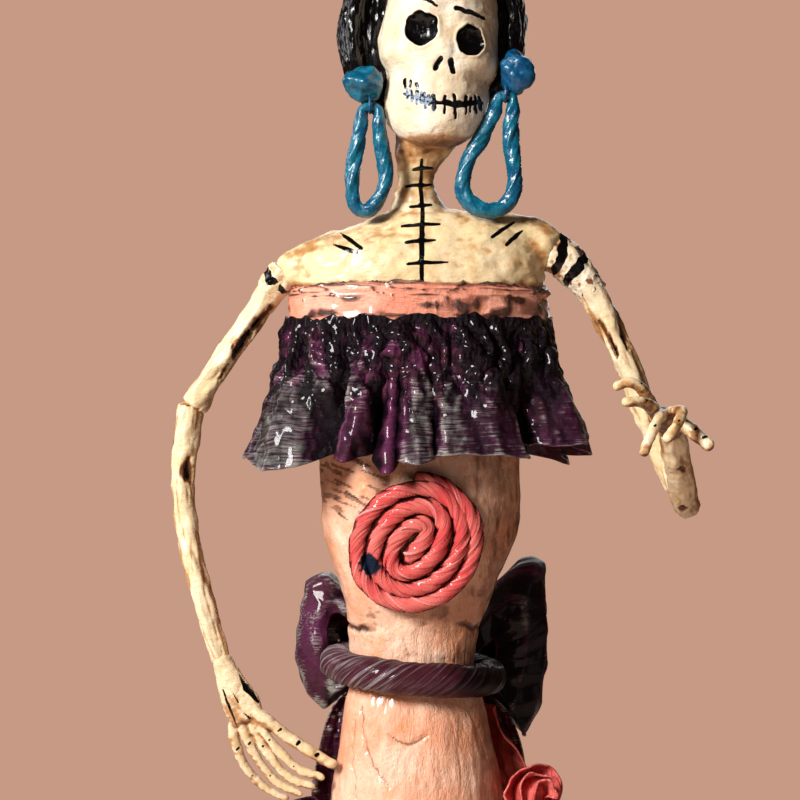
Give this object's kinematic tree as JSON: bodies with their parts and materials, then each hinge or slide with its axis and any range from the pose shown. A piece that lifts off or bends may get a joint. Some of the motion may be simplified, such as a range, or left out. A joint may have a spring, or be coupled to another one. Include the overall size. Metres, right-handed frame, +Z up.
{
  "type": "papier-mache catrina figure",
  "caption": "Standing papier-mache skeleton lady in a long ruffled gown with a rope belt and back bow, on a flat base, with drop earrings that swing on wire eyes.",
  "frame": {"origin": "middle of the underside of the base felt, on the surface the figure stands on", "axes": "+Z up, the figure faces -Y, +X is the figure's left"},
  "size_m": [0.1572, 0.1512, 0.4594],
  "materials": {
    "bone_paper": "cream paper skin with an amber and brown antiquing wash under gloss varnish, black painted marks",
    "hair_paper": "glossy black twisted paper strands",
    "teal_paper": "glossy teal paint on paper pulp and twisted paper, darker in the creases",
    "gown_paper": "peach papier-mache with brown wash in the wrinkles, gloss varnish",
    "salmon_paper": "salmon crepe paper, wrinkled along its length, varnished",
    "coral_paper": "coral crepe paper twisted and rolled, varnished",
    "plum_paper": "plum crepe paper, near black in the folds, silver-grey dry brushing on the ridges, gloss varnish",
    "iron_wire": "bare annealed iron wire",
    "newsprint": "crumpled and rolled newspaper bound with paste",
    "base_wood": "raw pine board",
    "base_felt": "black felt"
  },
  "bodies": {
    "figure": {"base_felt": "base_felt", "base_board": "base_wood", "foot_block": "base_wood", "armature_rod": "iron_wire", "hem_hoop": "iron_wire", "ear_hook_left": "iron_wire", "ear_hook_right": "iron_wire", "arm_wire_left": "iron_wire", "arm_wire_right": "iron_wire", "newspaper_core": "newsprint", "skirt_padding": "newsprint", "skirt_shell": "gown_paper", "bodice": "gown_paper", "bust_ruffle": "plum_paper", "hem_ruffle": "plum_paper", "rope_belt": "plum_paper", "bow_knot": "plum_paper", "bow_loop_left": "plum_paper", "bow_loop_right": "plum_paper", "bow_tail_left": "plum_paper", "bow_tail_right": "plum_paper", "hip_rose_right": "plum_paper", "hem_rope": "coral_paper", "overskirt_drape": "coral_paper", "hip_rose_left": "coral_paper", "rosette_coil": "coral_paper", "bust_band": "salmon_paper", "chest": "bone_paper", "neck": "bone_paper", "skull": "bone_paper", "shoulder_binding_left": "bone_paper", "shoulder_binding_right": "bone_paper", "upper_arm_left": "bone_paper", "upper_arm_right": "bone_paper", "forearm_left": "bone_paper", "forearm_right": "bone_paper", "palm_left": "bone_paper", "thumb_left": "bone_paper", "index_left": "bone_paper", "middle_left": "bone_paper", "ring_left": "bone_paper", "little_left": "bone_paper", "palm_right": "bone_paper", "thumb_right": "bone_paper", "index_right": "bone_paper", "middle_right": "bone_paper", "ring_right": "bone_paper", "little_right": "bone_paper", "hair": "hair_paper", "ear_ball_left": "teal_paper", "ear_ball_right": "teal_paper"},
    "earring_left": {"ear_loop_left": "teal_paper"},
    "earring_right": {"ear_loop_right": "teal_paper"}
  },
  "joints": [
    {"name": "earring_left_swing", "type": "hinge", "parent": "figure", "child": "earring_left", "pos_m": [0.023, -0.0102, 0.4124], "axis": [-1, 0, 0], "range_deg": [-3, 35]},
    {"name": "earring_right_swing", "type": "hinge", "parent": "figure", "child": "earring_right", "pos_m": [-0.0128, -0.0106, 0.4094], "axis": [-1, 0, 0], "range_deg": [-3, 35]}
  ]
}
